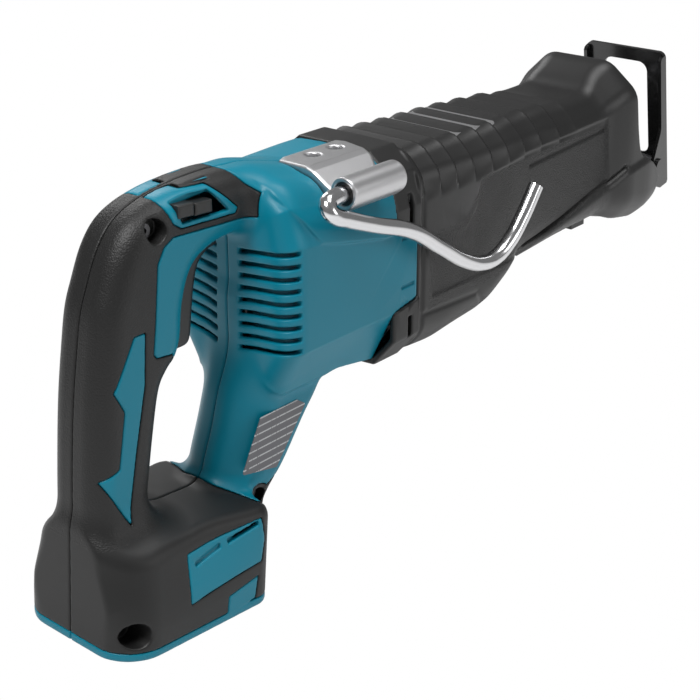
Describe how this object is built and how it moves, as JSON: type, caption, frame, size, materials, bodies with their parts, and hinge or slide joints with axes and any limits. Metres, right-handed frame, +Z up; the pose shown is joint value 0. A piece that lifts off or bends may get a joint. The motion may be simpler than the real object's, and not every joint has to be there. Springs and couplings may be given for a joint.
{
  "type": "reciprocating saw",
  "caption": "Cordless reciprocating saw with a D-handle, rubber grip and boot, folding wire hook, pivoting shoe and crank-driven blade clamp, without its battery.",
  "frame": {"origin": "mouth of the blade clamp on the spindle axis, with the spindle fully back", "axes": "+X forward along the spindle towards the blade, +Y to the left, +Z up"},
  "size_m": [0.4712, 0.0967, 0.206],
  "materials": {
    "teal_plastic": "satin moulded",
    "black_rubber": "pebble-grained over-mould",
    "boot_rubber": "smooth moulded rubber",
    "black_plastic": "satin",
    "grey_label": "printed film, blank",
    "cast_aluminium": "fine blasted casting",
    "dark_steel": "blackened",
    "bright_steel": "bright plated wire",
    "machined_steel": "ground",
    "lamination_steel": "laminated",
    "copper_wire": "enamelled winding",
    "shoe_black": "gloss black",
    "sintered_bronze": "oiled",
    "circuit_board": "coated"
  },
  "bodies": {
    "saw_body": {"housing_right": "teal_plastic", "housing_left": "teal_plastic", "grip_right": "black_rubber", "grip_left": "black_rubber", "strut_pad_right": "black_rubber", "strut_pad_left": "black_rubber", "housing_screws": "dark_steel", "rating_label": "grey_label", "hook_bracket": "cast_aluminium", "bracket_screws": "machined_steel", "hook_bush": "black_plastic", "trigger_pin": "machined_steel", "trigger_spring": "machined_steel", "switch_unit": "black_plastic", "terminal_block": "black_plastic", "terminal_blades": "copper_wire", "controller_tray": "cast_aluminium", "controller_board": "circuit_board", "motor_stator": "lamination_steel", "motor_windings": "copper_wire", "motor_rear_bearing": "machined_steel", "motor_front_bearing": "machined_steel", "crank_upper_bearing": "machined_steel", "crank_lower_bearing": "machined_steel", "spindle_rear_bush": "sintered_bronze", "spindle_front_bush": "sintered_bronze", "spindle_seal": "black_rubber", "gear_housing": "cast_aluminium", "gear_cover": "cast_aluminium", "gear_cover_screws": "machined_steel", "front_boot": "boot_rubber"},
    "rotor": {"motor_shaft": "machined_steel", "rotor_core": "lamination_steel", "cooling_fan": "black_plastic", "bevel_pinion": "machined_steel"},
    "crank": {"crank_gear": "machined_steel", "crank_shaft": "machined_steel", "crank_pin": "machined_steel", "crank_roller": "machined_steel", "counterweight": "dark_steel"},
    "spindle_assembly": {"spindle": "machined_steel", "spindle_yoke": "machined_steel", "blade_clamp": "dark_steel", "clamp_spring": "machined_steel"},
    "clamp": {"clamp_sleeve": "dark_steel"},
    "trigger_body": {"trigger": "black_plastic"},
    "lock_off": {"lock_off_button": "black_plastic"},
    "hook": {"hook_wire": "bright_steel", "hook_cap": "machined_steel"},
    "shoe_carrier": {"shoe_bar": "dark_steel"},
    "shoe": {"shoe_plate": "shoe_black", "shoe_pin": "shoe_black"},
    "shoe_lock": {"shoe_lock_button": "black_plastic"}
  },
  "joints": [
    {"name": "crank_spin", "type": "hinge", "parent": "saw_body", "child": "crank", "pos_m": [-0.194, 0, -0.04], "axis": [0, 0, 1], "continuous": true},
    {"name": "rotor_spin", "type": "hinge", "parent": "saw_body", "child": "rotor", "pos_m": [-0.27, 0, -0.028], "axis": [1, 0, 0], "continuous": true},
    {"name": "spindle_stroke", "type": "slide", "parent": "saw_body", "child": "spindle_assembly", "axis": [1, 0, 0], "range_m": [0, 0.032]},
    {"name": "clamp_turn", "type": "hinge", "parent": "spindle_assembly", "child": "clamp", "pos_m": [-0.0107, 0, 0], "axis": [1, 0, 0], "range_deg": [0, 60], "stiffness_Nm_per_rad": 0.08},
    {"name": "trigger_pull", "type": "hinge", "parent": "saw_body", "child": "trigger_body", "pos_m": [-0.361, 0, 0.0215], "axis": [0, 1, 0], "range_deg": [0, 9], "stiffness_Nm_per_rad": 0.9, "springref_deg": -4.58, "deforming": ["trigger_spring"]},
    {"name": "lock_off_push", "type": "slide", "parent": "saw_body", "child": "lock_off", "axis": [0, 1, 0], "range_m": [0, 0.005]},
    {"name": "hook_swing", "type": "hinge", "parent": "saw_body", "child": "hook", "pos_m": [-0.285, -0.046, 0.035], "axis": [1, 0, 0], "range_deg": [-110, 0]},
    {"name": "shoe_reach", "type": "slide", "parent": "saw_body", "child": "shoe_carrier", "axis": [1, 0, 0], "range_m": [0, 0.03]},
    {"name": "shoe_tilt", "type": "hinge", "parent": "shoe_carrier", "child": "shoe", "pos_m": [0.017, 0, -0.031], "axis": [0, 1, 0], "range_deg": [-4, 24]},
    {"name": "shoe_lock_push", "type": "slide", "parent": "saw_body", "child": "shoe_lock", "axis": [0, 0, 1], "range_m": [0, 0.002], "stiffness_N_per_m": 800}
  ],
  "couplings": [
    {"joint": "rotor_spin", "follows": "crank_spin", "ratio": 3}
  ]
}
